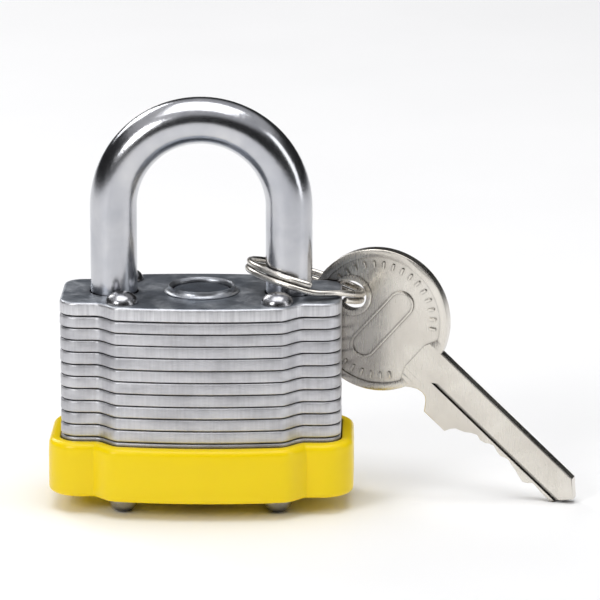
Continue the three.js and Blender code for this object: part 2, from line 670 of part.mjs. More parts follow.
// The key hangs with the wire near the top of its hole.
const keyNormal = new THREE.Vector3(0, 0, 1).applyQuaternion(keyPlace.quaternion);
const down = new THREE.Vector3(0, 0, -1).projectOnPlane(keyNormal).normalize();
const aside = new THREE.Vector3().crossVectors(down, keyNormal);
const wireAngle = radians(KEY_ON_RING_ANGLE);
const keyHole = new THREE.Vector3(Math.cos(wireAngle), Math.sin(wireAngle), 0)
  .multiplyScalar(RING_MEAN_RADIUS)
  .applyQuaternion(ringPlace.quaternion)
  .add(ringPlace.position)
  .addScaledVector(down, KEY_HOLE_RADIUS - KEY_HANG_GAP - ringHalfHeight)
  .addScaledVector(aside, KEY_ASIDE)
  .addScaledVector(keyNormal, KEY_FRONT - KEY_THICKNESS / 2);
const holeToBow = new THREE.Vector3(KEY_HOLE_OFFSET, 0, 0).applyQuaternion(keyPlace.quaternion);
keyPlace.position.copy(keyHole).add(holeToBow);
lock.add(keyPlace);
add("key", keyGeometry(), nickel, keyPlace);

const assembly = new THREE.Group();
assembly.add(lock);
export default assembly;
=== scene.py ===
import json
import math
import random

import bmesh
import bpy
from mathutils import Matrix, Vector, noise
from mathutils.geometry import tessellate_polygon


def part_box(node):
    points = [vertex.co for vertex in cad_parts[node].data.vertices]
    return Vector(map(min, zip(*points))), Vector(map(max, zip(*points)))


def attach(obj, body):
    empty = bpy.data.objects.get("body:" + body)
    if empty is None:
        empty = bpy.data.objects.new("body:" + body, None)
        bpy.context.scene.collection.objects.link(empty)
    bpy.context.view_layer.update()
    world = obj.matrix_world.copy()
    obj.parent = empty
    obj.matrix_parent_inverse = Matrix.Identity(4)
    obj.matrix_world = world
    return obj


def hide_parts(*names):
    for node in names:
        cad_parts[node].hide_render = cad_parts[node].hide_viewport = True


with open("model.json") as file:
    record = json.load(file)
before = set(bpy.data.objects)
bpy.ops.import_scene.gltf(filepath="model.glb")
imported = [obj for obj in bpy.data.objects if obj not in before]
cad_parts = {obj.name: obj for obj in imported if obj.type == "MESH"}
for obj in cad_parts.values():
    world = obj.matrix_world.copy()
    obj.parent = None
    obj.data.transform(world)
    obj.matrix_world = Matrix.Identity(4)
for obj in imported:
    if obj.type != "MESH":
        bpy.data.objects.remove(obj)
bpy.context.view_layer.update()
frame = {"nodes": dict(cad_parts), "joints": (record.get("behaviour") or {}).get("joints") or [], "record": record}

# A laminated padlock: sizes in millimetres, in the CAD model's frame.
MM = 0.001
CROWN_X, CROWN_Y, TOP = [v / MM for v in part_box("top_plate")[1]]
DISC_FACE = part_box("crown_disc")[1].z / MM
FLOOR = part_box("rivet_front_left")[0].z / MM

END_DEPTH = 14.9
FRONT_CROWN = 0.85
STEP_INNER = 8.7
STEP_OUTER = 5.1
CORNER_RADIUS = 2.8
PLATE_COUNT = 15
PLATE_EDGE = 0.3
TOP_PLATE_EDGE = 0.42
SECOND_PLATE_EDGE = 0.5
PLATE_UNEVENNESS = 0.07

LEG_X = 12.5
ROD_RADIUS = 3.33
LEG_CLEARANCE = 0.2
STRAIGHT_TOP = 12.4
NECK_RADIUS = 2.05
NOTCH_DEPTH = 1.2
NOTCH_MARGIN = 0.1
NOTCH_TO_LIP = 1.0
FOOT_HEIGHT = 1.6

PLUG_Y = -3.4
HOUSING_BORE = 6.5
PLUG_OPENING = 5.5
RIVET_X = 11
RIVET_Y = 7
RIVET_HOLE = 1.68
RIVET_SHANK = 1.5
HEAD_RADIUS = 2.33
HAMMER_DENT = 0.09
COLLAR_BASE = 5.38
COLLAR_RIM = 4.75
COLLAR_BORE = 4.25
COLLAR_FOOT = 0.12
COLLAR_HEIGHT = 0.98
DISC_RADIUS = 4.08

BUMPER_GAP = 0.1
BUMPER_FLOOR = 1.4
BUMPER_FOOT_ROUND = 0.75
BUMPER_LIP_ROUND = 0.95
BUMPER_LIP_EDGE = 0.18

RING_CENTRE = Vector((14.78, 3.426, 0.876 + TOP))
RING_FALL = (0.285, 0.119)
RING_RADIUS = 8.45
RING_WIRE = 0.46
RING_TURN_PITCH = 0.97
RING_JOIN_ANGLE = -65
RING_JOIN_HALF = 20

KEY_SLOPE = 41.25
KEY_THICKNESS = 1.9
BOW_RADIUS = 10.47
KEY_HOLE_RADIUS = 2.2
KEY_HOLE_OFFSET = 5.15
KEY_EDGE = 0.14
SPINE = 3.1
LAND = -5.18
FIELD_DEPTH = 0.28
FIELD_RIM = 1.1
FIELD_CORNER = 4.2
FIELD_END = 7.5
FIELD_END_HALF = 2.2
EYE_RIM = 0.75
PILL_PLACE = 0.9
PILL_HALF_WIDTH = 1.9
PILL_HALF_LENGTH = 6.1
PILL_LINE = 0.28
TICK_COUNT = 30
TICK_START = 36
TICK_SPAN = 288
TICK_INNER = 7.75
TICK_OUTER = 8.7
TICK_HALF_WIDTH = 0.16
GROOVE_DEPTH = 0.5
GROOVE_LOW = -1.2
GROOVE_HIGH = -0.6

CAMERA_AZIMUTH = 2.5
CAMERA_ELEVATION = 13.7
CAMERA_DISTANCE = 650
CAMERA_AIM = Vector((14.05, 0, -1.235 + TOP))
LENS = 273
FLOOR_HALF = 4000


# ---------------------------------------------------------------- mesh helpers

def new_object(name, vertices, faces, material, smooth=True):
    mesh = bpy.data.meshes.new(name)
    mesh.from_pydata([tuple(c * MM for c in v) for v in vertices], [], faces)
    mesh.validate()
    piece = bpy.data.objects.new(name, mesh)
    bpy.context.scene.collection.objects.link(piece)
    mesh.materials.append(material)
    tidy_normals(mesh)
    if smooth:
        mesh.shade_smooth()
    return piece


def tidy_normals(mesh):
    work = bmesh.new()
    work.from_mesh(mesh)
    bmesh.ops.remove_doubles(work, verts=work.verts, dist=1e-7)
    bmesh.ops.recalc_face_normals(work, faces=work.faces)
    work.to_mesh(mesh)
    work.free()


def sharpen(piece, degrees=35):
    piece.data.set_sharp_from_angle(angle=math.radians(degrees))


def bevel(piece, width, degrees):
    modifier = piece.modifiers.new("edges", "BEVEL")
    modifier.width = width * MM
    modifier.segments = 2
    modifier.limit_method = "ANGLE"
    modifier.angle_limit = math.radians(degrees)
    apply_modifiers(piece)


def even_shading(piece, degrees):
    """Flat faces stay flat, and narrow bevels carry the turn of the light."""
    piece.data.shade_smooth()
    sharpen(piece, degrees)
    modifier = piece.modifiers.new("normals", "WEIGHTED_NORMAL")
    modifier.mode = "FACE_AREA"
    modifier.weight = 100
    modifier.keep_sharp = True
    apply_modifiers(piece)


def apply_modifiers(piece):
    bpy.context.view_layer.update()
    evaluated = piece.evaluated_get(bpy.context.evaluated_depsgraph_get())
    mesh = bpy.data.meshes.new_from_object(evaluated)
    piece.modifiers.clear()
    old = piece.data
    piece.data = mesh
    bpy.data.meshes.remove(old)


def carve(piece, tool):
    """Takes the tool's shape out of the piece, and the tool away."""
    modifier = piece.modifiers.new("cut", "BOOLEAN")
    modifier.operation = "DIFFERENCE"
    modifier.solver = "EXACT"
    modifier.object = tool
    apply_modifiers(piece)
    bpy.data.objects.remove(tool)


def circle(x, y, radius, sides):
    return [(x + radius * math.cos(2 * math.pi * i / sides),
             y + radius * math.sin(2 * math.pi * i / sides))
            for i in range(sides)]


def band_faces(rows, count):
    """Quads that join neighbouring rows of points, each a closed loop of count points."""
    faces = []
    for row in range(rows - 1):
        for i in range(count):
            j = (i + 1) % count
            a = row * count
            faces.append((a + i, a + j, a + count + j, a + count + i))
    return faces


def offset_loop(points, grow):
    """The closed outline grown outwards by a distance, with mitred corners."""
    moved = []
    for i, (x, y) in enumerate(points):
        before = points[i - 1]
        after = points[(i + 1) % len(points)]
        into = Vector((x - before[0], y - before[1])).normalized()
        out = Vector((after[0] - x, after[1] - y)).normalized()
        normal = Vector((into.y + out.y, -into.x - out.x)).normalized()
        mitre = grow / max(normal.x * out.y - normal.y * out.x, 0.5)
        moved.append((x + normal.x * mitre, y + normal.y * mitre))
    return moved


def shell(name, loop, rows, holes, material):
    """A solid whose sides follow the outline. Rows are (grow, z), from the lower cap round the outside
    to the upper cap. Holes are loops that run straight from the lower cap to the upper one."""
    vertices = []
    count = len(loop)
    for grow, z in rows:
        vertices += [(x, y, z) for x, y in offset_loop(loop, grow)]
    faces = band_faces(len(rows), count)
    hole_starts = []
    for hole in holes:
        hole_starts.append(len(vertices))
        vertices += [(x, y, rows[0][1]) for x, y in hole]
        vertices += [(x, y, rows[-1][1]) for x, y in hole]
        start = hole_starts[-1]
        size = len(hole)
        faces += [(start + i, start + size + i, start + size + (i + 1) % size, start + (i + 1) % size)
                  for i in range(size)]
    for top in (False, True):
        base = (len(rows) - 1) * count if top else 0
        loops = [[Vector(vertices[base + i]) for i in range(count)]]
        index = [base + i for i in range(count)]
        for start, hole in zip(hole_starts, holes):
            first = start + (len(hole) if top else 0)
            loops.append([Vector(vertices[first + i]) for i in range(len(hole))])
            index += [first + i for i in range(len(hole))]
        for triangle in tessellate_polygon(loops):
            faces.append(tuple(index[i] for i in triangle))
    piece = new_object(name, vertices, faces, material)
    sharpen(piece)
    return piece


def lathe(name, profile, x, y, material, sides):
    """A profile of (radius, z) turned about the upright line at x, y."""
    vertices = []
    for radius, z in profile:
        vertices += [(x + px * radius, y + py * radius, z) for px, py in circle(0, 0, 1, sides)]
    piece = new_object(name, vertices, band_faces(len(profile), sides), material)
    sharpen(piece, 40)
    return piece


def sweep(name, points, radii, material, sides, up=Vector((0, 1, 0))):
    """A round bar along points with a radius at each; both ends are closed."""
    vertices = []
    for i, (point, radius) in enumerate(zip(points, radii)):
        before = points[max(i - 1, 0)]
        after = points[min(i + 1, len(points) - 1)]
        along = (after - before).normalized()
        across = up.cross(along).normalized()
        lift = along.cross(across).normalized()
        for k in range(sides):
            angle = 2 * math.pi * k / sides
            vertices.append(point + across * (radius * math.cos(angle)) + lift * (radius * math.sin(angle)))
    faces = band_faces(len(points), sides)
    faces.append(tuple(range(sides - 1, -1, -1)))
    last = (len(points) - 1) * sides
    faces.append(tuple(range(last, last + sides)))
    piece = new_object(name, [tuple(v) for v in vertices], faces, material)
    sharpen(piece, 40)
    return piece


def prism(name, loop, low, high, material):
    """An outline stood up between two heights, for cutting with."""
    count = len(loop)
    vertices = [(x, y, low) for x, y in loop] + [(x, y, high) for x, y in loop]
    faces = [(i, (i + 1) % count, count + (i + 1) % count, count + i) for i in range(count)]
    faces.append(tuple(range(count - 1, -1, -1)))
    faces.append(tuple(range(count, 2 * count)))
    return new_object(name, vertices, faces, material, smooth=False)


def arc_rows(grow, z, radius, start, end, steps):
    """Points (grow, z) on an arc round a centre, for the rounded edges of a shell."""
    rows = []
    for i in range(steps + 1):
        angle = math.radians(start + (end - start) * i / steps)
        rows.append((grow + radius * math.cos(angle), z + radius * math.sin(angle)))
    return rows


# ---------------------------------------------------------------- materials

class Nodes:
    """A short way to write a material's nodes."""

    def __init__(self, name):
        self.material = bpy.data.materials.new(name)
        self.material.use_nodes = True
        self.tree = self.material.node_tree
        self.shader = self.tree.nodes["Principled BSDF"]
        coordinates = self.tree.nodes.new("ShaderNodeTexCoord")
        self.place = coordinates.outputs["Object"]

    def link(self, output, socket):
        self.tree.links.new(output, socket)

    def mapped(self, scale, turn=(0, 0, 0)):
        node = self.tree.nodes.new("ShaderNodeMapping")
        node.inputs["Scale"].default_value = scale
        node.inputs["Rotation"].default_value = turn
        self.link(self.place, node.inputs["Vector"])
        return node.outputs["Vector"]

    def noise(self, scale, detail=4, rough=0.55, turn=(0, 0, 0), distort=0.0):
        """Noise with a size per axis: scale is cycles per metre along x, y and z."""
        node = self.tree.nodes.new("ShaderNodeTexNoise")
        node.inputs["Scale"].default_value = 1
        node.inputs["Detail"].default_value = detail
        node.inputs["Roughness"].default_value = rough
        node.inputs["Distortion"].default_value = distort
        self.link(self.mapped(scale, turn), node.inputs["Vector"])
        return node.outputs["Fac"]

    def cells(self, scale):
        node = self.tree.nodes.new("ShaderNodeTexVoronoi")
        node.inputs["Scale"].default_value = 1
        self.link(self.mapped(scale), node.inputs["Vector"])
        return node.outputs["Distance"]

    def ramp(self, factor, stops):
        node = self.tree.nodes.new("ShaderNodeValToRGB")
        elements = node.color_ramp.elements
        while len(elements) < len(stops):
            elements.new(0.5)
        for element, (position, color) in zip(elements, stops):
            element.position = position
            if isinstance(color, (int, float)):
                color = (color, color, color)
            element.color = (*color, 1)
        self.link(factor, node.inputs["Fac"])
        return node.outputs["Color"]

    def math(self, operation, a, b, c=None):
        node = self.tree.nodes.new("ShaderNodeMath")
        node.operation = operation
        for socket, value in zip(node.inputs, (a, b, c)):
            if value is None:
                continue
            if isinstance(value, (int, float)):
                socket.default_value = value
            else:
                self.link(value, socket)
        return node.outputs[0]

    def mix(self, factor, a, b, blend="MIX"):
        node = self.tree.nodes.new("ShaderNodeMix")
        node.data_type = "RGBA"
        node.blend_type = blend
        for socket, value in ((node.inputs[0], factor), (node.inputs[6], a), (node.inputs[7], b)):
            if isinstance(value, (int, float)):
                socket.default_value = value
            elif isinstance(value, tuple):
                socket.default_value = (*value, 1)
            else:
                self.link(value, socket)
        return node.outputs[2]

    def painted_crevice_shade(self, color, dark, distance, low, high):
        """Painted shade: the colour turned to the dark one where other surfaces stand within the distance, read
        from ambient occlusion.
        """
        node = self.tree.nodes.new("ShaderNodeAmbientOcclusion")
        node.inputs["Distance"].default_value = distance
        node.samples = 6
        return self.mix(self.ramp(node.outputs["AO"], [(low, 0.0), (high, 1.0)]), dark, color)

    def facing(self):
        """How far the surface faces up, from 0 to 1."""
        geometry = self.tree.nodes.new("ShaderNodeNewGeometry")
        split = self.tree.nodes.new("ShaderNodeSeparateXYZ")
        self.link(geometry.outputs["Normal"], split.inputs[0])
        return self.math("MAXIMUM", split.outputs["Z"], 0)

    def bump(self, heights, distance):
        """Each height is (value, strength); they are laid over each other."""
        normal = None
        for value, strength in heights:
            node = self.tree.nodes.new("ShaderNodeBump")
            node.inputs["Strength"].default_value = strength
            node.inputs["Distance"].default_value = distance
            self.link(value, node.inputs["Height"])
            if normal is not None:
                self.link(normal, node.inputs["Normal"])
            normal = node.outputs["Normal"]
        self.link(normal, self.shader.inputs["Normal"])

    def finish(self, color, roughness, metallic=1.0):
        if isinstance(color, tuple):
            self.shader.inputs["Base Color"].default_value = (*color, 1)
        else:
            self.link(color, self.shader.inputs["Base Color"])
        self.link(roughness, self.shader.inputs["Roughness"])
        self.shader.inputs["Metallic"].default_value = metallic
        return self.material


def plate_steel(name, seed):
    """Stamped, thinly zinc-plated plate: vertical shear marks on the edge, a blotchy rolled face."""
    nodes = Nodes(name)
    shear = nodes.noise((2600, 2600, 120), 3, 0.6, turn=(0, 0, seed))
    grain = nodes.noise((5200, 5200, 5200), 2, 0.5)
    blotch = nodes.noise((170, 170, 420 + 10 * seed), 4, 0.6)
    tint = nodes.ramp(blotch, [(0.3, (0.50, 0.50, 0.525)), (0.55, (0.66, 0.66, 0.685)),
                               (0.8, (0.76, 0.755, 0.775))])
    worn = nodes.ramp(shear, [(0.3, 0.82), (0.7, 1.0)])
    color = nodes.mix(0.8, tint, worn, "MULTIPLY")
    # Painted shade: the plate steel turns near-black where other plates and parts crowd it.
    color = nodes.painted_crevice_shade(color, (0.05, 0.05, 0.055), 0.0007, 0.35, 0.85)
    roughness = nodes.math("MULTIPLY_ADD", shear, 0.22, 0.30)
    roughness = nodes.math("MULTIPLY_ADD", blotch, 0.16, roughness)
    nodes.bump([(shear, 0.35), (grain, 0.22), (blotch, 0.15)], 0.00006)
    return nodes.finish(color, roughness)


def top_face_steel():
    """The top plate: its face is duller and blue-grey, with cloudy plating and rubbed spots."""
    nodes = Nodes("top_plate_steel")
    cloud = nodes.noise((240, 240, 240), 6, 0.62, distort=0.4)
    fine = nodes.noise((1500, 1500, 1500), 4, 0.6)
    scratch = nodes.noise((260, 6500, 800), 2, 0.5, turn=(0, 0, 0.25))
    shear = nodes.noise((2600, 2600, 150), 3, 0.6)
    face = nodes.ramp(cloud, [(0.34, (0.20, 0.225, 0.265)), (0.5, (0.32, 0.345, 0.385)),
                              (0.66, (0.55, 0.575, 0.61))])
    face = nodes.mix(0.5, face, nodes.ramp(fine, [(0.35, 0.72), (0.6, 1.0)]), "MULTIPLY")
    side = nodes.ramp(shear, [(0.3, (0.56, 0.56, 0.58)), (0.7, (0.74, 0.74, 0.76))])
    up = nodes.ramp(nodes.facing(), [(0.55, 0.0), (0.95, 1.0)])
    color = nodes.mix(up, side, face)
    # Painted shade: the top plate darkens where the collar, rivets and shackle stand close to it.
    color = nodes.painted_crevice_shade(color, (0.06, 0.06, 0.07), 0.0016, 0.3, 0.9)
    roughness = nodes.math("MULTIPLY_ADD", cloud, 0.3, 0.24)
    roughness = nodes.math("MULTIPLY_ADD", scratch, 0.12, roughness)
    nodes.bump([(fine, 0.35), (scratch, 0.25), (cloud, 0.3)], 0.00008)
    return nodes.finish(color, roughness)


def bright_zinc():
    """Bright zinc on hardened rod: a soft cloudy plating with faint drawing marks."""
    nodes = Nodes("bright_zinc")
    cloud = nodes.noise((210, 210, 150), 4, 0.55, distort=0.3)
    fine = nodes.noise((2300, 2300, 700), 3, 0.6)
    pit = nodes.cells((900, 900, 700))
    color = nodes.ramp(cloud, [(0.3, (0.44, 0.45, 0.485)), (0.55, (0.54, 0.545, 0.57)),
                               (0.8, (0.64, 0.64, 0.65))])
    # Painted shade: the zinc darkens where the rod runs close to the body and the ring.
    color = nodes.painted_crevice_shade(color, (0.12, 0.12, 0.13), 0.002, 0.2, 0.8)
    roughness = nodes.math("MULTIPLY_ADD", cloud, 0.10, 0.10)
    roughness = nodes.math("MULTIPLY_ADD", fine, 0.10, roughness)
    nodes.bump([(fine, 0.16), (nodes.ramp(pit, [(0.02, 0.0), (0.2, 1.0)]), 0.06), (cloud, 0.3)], 0.00008)
    return nodes.finish(color, roughness)


def rivet_steel():
    """Plated rivets, cloudy and dull where the hammer went."""
    nodes = Nodes("rivet_steel")
    cloud = nodes.noise((420, 420, 420), 4, 0.6)
    fine = nodes.noise((2400, 2400, 2400), 3, 0.6)
    color = nodes.ramp(cloud, [(0.3, (0.27, 0.27, 0.285)), (0.6, (0.42, 0.42, 0.44)),
                               (0.85, (0.58, 0.58, 0.59))])
    # Painted shade: the rivets darken where they meet the plate and bumper.
    color = nodes.painted_crevice_shade(color, (0.06, 0.06, 0.065), 0.0012, 0.25, 0.85)
    roughness = nodes.math("MULTIPLY_ADD", cloud, 0.22, 0.14)
    nodes.bump([(fine, 0.3), (cloud, 0.5)], 0.0001)
    return nodes.finish(color, roughness)


def collar_steel():
    """The upset collar: the top face's steel, burnished a little."""
    nodes = Nodes("collar_steel")
    cloud = nodes.noise((500, 500, 500), 4, 0.6)
    fine = nodes.noise((1800, 1800, 1800), 3, 0.6)
    color = nodes.ramp(cloud, [(0.3, (0.38, 0.40, 0.435)), (0.7, (0.60, 0.62, 0.65))])
    # Painted shade: the collar darkens in its bore and at its foot, where it meets the disc and the plate.
    color = nodes.painted_crevice_shade(color, (0.06, 0.06, 0.07), 0.0009, 0.3, 0.9)
    roughness = nodes.math("MULTIPLY_ADD", cloud, 0.2, 0.26)
    nodes.bump([(fine, 0.3), (cloud, 0.4)], 0.00008)
    return nodes.finish(color, roughness)


def dark_steel():
    """Blackened steel with a rough grit."""
    nodes = Nodes("dark_steel")
    grit = nodes.noise((3200, 3200, 3200), 5, 0.7)
    cloud = nodes.noise((500, 500, 500), 3, 0.5)
    color = nodes.ramp(cloud, [(0.3, (0.018, 0.024, 0.034)), (0.7, (0.055, 0.068, 0.09))])
    color = nodes.mix(0.4, color, nodes.ramp(grit, [(0.4, 0.35), (0.7, 1.0)]), "MULTIPLY")
    roughness = nodes.math("MULTIPLY_ADD", grit, 0.3, 0.42)
    nodes.bump([(grit, 0.8), (cloud, 0.3)], 0.00012)
    return nodes.finish(color, roughness, 0.3)


def nickel(name, turn):
    """Warm nickel plate with fine handling scratches in two directions."""
    nodes = Nodes(name)
    cloud = nodes.noise((160, 160, 160), 4, 0.55, distort=0.5)
    fine = nodes.noise((1900, 1900, 1900), 3, 0.6)
    first = nodes.noise((7000, 7000, 350), 2, 0.5, turn=(0.2, turn, 0.3))
    second = nodes.noise((7000, 7000, 350), 2, 0.5, turn=(0.1, turn + 1.2, -0.4))
    color = nodes.ramp(cloud, [(0.3, (0.60, 0.565, 0.51)), (0.55, (0.71, 0.675, 0.615)),
                               (0.8, (0.80, 0.77, 0.71))])
    # Painted shade: the nickel darkens in the key's sunk field, groove and eye, and where the ring touches.
    color = nodes.painted_crevice_shade(color, (0.10, 0.09, 0.08), 0.0009, 0.3, 0.85)
    roughness = nodes.math("MULTIPLY_ADD", cloud, 0.14, 0.15)
    roughness = nodes.math("MULTIPLY_ADD", first, 0.10, roughness)
    nodes.bump([(first, 0.05), (second, 0.04), (fine, 0.06), (cloud, 0.12)], 0.00005)
    return nodes.finish(color, roughness)


def brass():
    nodes = Nodes("brass")
    turning = nodes.noise((900, 900, 5000), 3, 0.5)
    cloud = nodes.noise((300, 300, 300), 3, 0.5)
    color = nodes.ramp(cloud, [(0.3, (0.55, 0.39, 0.15)), (0.7, (0.76, 0.57, 0.26))])
    roughness = nodes.math("MULTIPLY_ADD", turning, 0.2, 0.2)
    nodes.bump([(turning, 0.3), (cloud, 0.1)], 0.00006)
    return nodes.finish(color, roughness)


def spring_steel():
    nodes = Nodes("spring_steel")
    drawn = nodes.noise((2500, 2500, 2500), 3, 0.5)
    color = nodes.ramp(drawn, [(0.3, (0.33, 0.33, 0.35)), (0.7, (0.52, 0.52, 0.54))])
    roughness = nodes.math("MULTIPLY_ADD", drawn, 0.2, 0.25)
    nodes.bump([(drawn, 0.3)], 0.00005)
    return nodes.finish(color, roughness)


def yellow_plastic():
    """Injection-moulded plastic: strong yellow, a satin skin with a faint orange peel."""
    nodes = Nodes("yellow_plastic")
    peel = nodes.noise((650, 650, 650), 3, 0.5)
    grain = nodes.noise((4800, 4800, 4800), 2, 0.5)
    cloud = nodes.noise((60, 60, 60), 3, 0.5)
    color = nodes.ramp(cloud, [(0.3, (0.92, 0.66, 0.0)), (0.6, (0.95, 0.70, 0.0)), (0.8, (0.97, 0.73, 0.0))])
    # Painted shade: the yellow turns dark ochre where the bumper meets the plates and rivets.
    color = nodes.painted_crevice_shade(color, (0.45, 0.30, 0.0), 0.001, 0.1, 0.7)
    roughness = nodes.math("MULTIPLY_ADD", peel, 0.14, 0.24)
    nodes.bump([(peel, 0.12), (grain, 0.08)], 0.00006)
    nodes.shader.inputs["Subsurface Weight"].default_value = 0.08
    nodes.shader.inputs["Subsurface Radius"].default_value = (0.002, 0.0012, 0.0003)
    nodes.shader.inputs["IOR"].default_value = 1.38
    return nodes.finish(color, roughness, 0.0)


def floor_white():
    nodes = Nodes("floor_white")
    grain = nodes.noise((25, 25, 25), 3, 0.5)
    color = nodes.ramp(grain, [(0.3, (0.955, 0.955, 0.955)), (0.7, (0.965, 0.965, 0.965))])
    roughness = nodes.math("MULTIPLY_ADD", grain, 0.1, 0.6)
    return nodes.finish(color, roughness, 0.0)


bright = bright_zinc()
rivet = rivet_steel()
dark = dark_steel()
key_nickel = nickel("key_nickel", 0.7)
ring_nickel = nickel("ring_nickel", 0.2)
brass_metal = brass()
spring_metal = spring_steel()
yellow = yellow_plastic()


# ---------------------------------------------------------------- body

def body_loop():
    """The plates' plan outline, anticlockwise."""
    step_start = CROWN_X - STEP_INNER
    step_end = CROWN_X - STEP_OUTER
    shoulder = CROWN_Y - FRONT_CROWN
    quarter = []
    for i in range(1, 9):
        x = step_start * i / 8
        quarter.append((x, CROWN_Y - FRONT_CROWN * (x / step_start) ** 2))
    for i in range(1, 15):
        blend = (1 - math.cos(math.pi * i / 14)) / 2
        quarter.append((step_start + (step_end - step_start) * i / 14,
                        shoulder + (END_DEPTH / 2 - shoulder) * blend))
    for i in range(13):
        angle = math.pi / 2 * (1 - i / 12)
        quarter.append((CROWN_X - CORNER_RADIUS + CORNER_RADIUS * math.cos(angle),
                        END_DEPTH / 2 - CORNER_RADIUS + CORNER_RADIUS * math.sin(angle)))
    back = quarter[::-1]
    return (back + [(0, CROWN_Y)] + [(-x, y) for x, y in quarter]
            + [(-x, -y) for x, y in back] + [(0, -CROWN_Y)] + [(x, -y) for x, y in quarter])


def rivet_holes():
    return [circle(x, y, RIVET_HOLE, 24) for x in (-RIVET_X, RIVET_X) for y in (-RIVET_Y, RIVET_Y)]


def plate_holes(number):
    holes = rivet_holes()
    leg = ROD_RADIUS + LEG_CLEARANCE
    if number <= 4:
        holes.append(circle(-LEG_X, 0, leg, 48))
    if number < PLATE_COUNT:
        holes.append(circle(LEG_X, 0, leg, 48))
    if number == 1:
        holes.append(circle(0, 0, COLLAR_BORE, 48))
    elif number > 3:
        holes.append(circle(0, PLUG_Y, HOUSING_BORE, 48))
    return holes


def make_plates():
    loop = body_loop()
    shift = random.Random(4)
    top_steel = top_face_steel()
    for number in range(1, PLATE_COUNT + 1):
        node = "top_plate" if number == 1 else f"plate_{number:02d}"
        low, high = [corner.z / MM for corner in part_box(node)]
        lower_edge = PLATE_EDGE * shift.uniform(0.75, 1.0)
        upper_edge = PLATE_EDGE * shift.uniform(0.95, 1.25)
        inset = -0.02 if number == 1 else -shift.uniform(0.0, PLATE_UNEVENNESS)
        if number == 1:
            upper_edge = TOP_PLATE_EDGE
        if number == 2:
            upper_edge = SECOND_PLATE_EDGE
        rows = arc_rows(inset - lower_edge, low + lower_edge, lower_edge, -90, 0, 3)
        rows += arc_rows(inset - upper_edge, high - upper_edge, upper_edge, 0, 90, 5)
        material = top_steel if number == 1 else plate_steel(f"plate_steel_{number:02d}", number * 0.37)
        piece = shell(f"{node}_skin", loop, rows, plate_holes(number), material)
        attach(piece, "lock_body")
        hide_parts(node)


def make_boss():
    """The raised collar and the flat disc in it."""
    collar = lathe("crown_collar_skin", [
        (COLLAR_BORE + 0.02, TOP),
        (COLLAR_BASE, TOP),
        *[(COLLAR_RIM + (COLLAR_BASE - COLLAR_RIM) * (1 - math.sin(math.radians(a))) ** 1.2,
           TOP + COLLAR_FOOT + (COLLAR_HEIGHT - COLLAR_FOOT) * (1 - math.cos(math.radians(a))))
          for a in range(0, 91, 15)],
        (COLLAR_RIM - 0.14, TOP + COLLAR_HEIGHT),
        (COLLAR_BORE + 0.3, TOP + 0.9),
        (COLLAR_BORE + 0.14, TOP + 0.74),
        (COLLAR_BORE + 0.04, TOP + 0.5),
        (COLLAR_BORE + 0.02, TOP),
    ], 0, 0, collar_steel(), 96)
    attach(collar, "lock_body")
    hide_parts("crown_collar")
    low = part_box("crown_disc")[0].z / MM
    disc = lathe("crown_disc_skin", [
        (0, low),
        (DISC_RADIUS, low),
        (DISC_RADIUS, DISC_FACE - 0.25),
        (DISC_RADIUS - 0.08, DISC_FACE - 0.1),
        (DISC_RADIUS - 0.23, DISC_FACE - 0.03),
        (2.6, DISC_FACE - 0.01),
        (0, DISC_FACE - 0.01),
    ], 0, 0, dark, 96)
    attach(disc, "lock_body")
    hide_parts("crown_disc")


def make_bumper():
    low, high = [corner.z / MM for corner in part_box("bumper")]
    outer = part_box("bumper")[1].x / MM - CROWN_X
    floor_top = low + BUMPER_FLOOR
    rows = arc_rows(outer - BUMPER_FOOT_ROUND, low + BUMPER_FOOT_ROUND, BUMPER_FOOT_ROUND, -90, -5, 6)
    rows.append((outer, low + 2.5))
    rows.append((outer, high - 2.2))
    rows += arc_rows(outer - BUMPER_LIP_ROUND - 0.05, high - BUMPER_LIP_ROUND, BUMPER_LIP_ROUND, 5, 90, 7)
    rows += arc_rows(BUMPER_GAP + BUMPER_LIP_EDGE, high - BUMPER_LIP_EDGE, BUMPER_LIP_EDGE, 90, 180, 3)
    rows.append((BUMPER_GAP, floor_top + 0.3))
    rows.append((BUMPER_GAP - 0.3, floor_top))
    holes = rivet_holes() + [circle(0, PLUG_Y, PLUG_OPENING, 48)]
    piece = shell("bumper_skin", body_loop(), rows, holes, yellow)
    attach(piece, "lock_body")
    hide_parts("bumper")


def dome(radius, height, z, sign):
    """A hammered dome's profile from its rim to its crown, a little flat on top."""
    steps = 12
    points = []
    for i in range(steps + 1):
        angle = math.pi / 2 * i / steps
        points.append((radius * math.cos(angle) ** 0.9 if i < steps else 0,
                       z + sign * height * math.sin(angle)))
    return points


def make_rivets():
    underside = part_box("bumper")[0].z / MM
    for depth, y in (("front", -RIVET_Y), ("rear", RIVET_Y)):
        for side, x in (("left", -RIVET_X), ("right", RIVET_X)):
            node = f"rivet_{depth}_{side}"
            low, high = [corner.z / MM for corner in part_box(node)]
            tail = dome(HEAD_RADIUS, underside - low + 0.1, underside, -1)
            tail = [(radius, max(z, low)) for radius, z in reversed(tail)]
            head = dome(HEAD_RADIUS, high - TOP - 0.03, TOP + 0.02, 1)
            profile = tail + [(RIVET_SHANK, underside), (RIVET_SHANK, TOP), (HEAD_RADIUS - 0.1, TOP)] + head
            piece = lathe(f"{node}_skin", profile, x, y, rivet, 48)
            for vertex in piece.data.vertices:
                place = vertex.co / MM
                if place.z > TOP + 0.3 or place.z < underside - 0.3:
                    dent = noise.noise(place * 0.9 + Vector((x, y, 3))) * HAMMER_DENT
                    centre = Vector((x, y, TOP if place.z > 0 else underside))
                    vertex.co -= (place - centre).normalized() * abs(dent) * MM
            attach(piece, "lock_body")
            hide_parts(node)


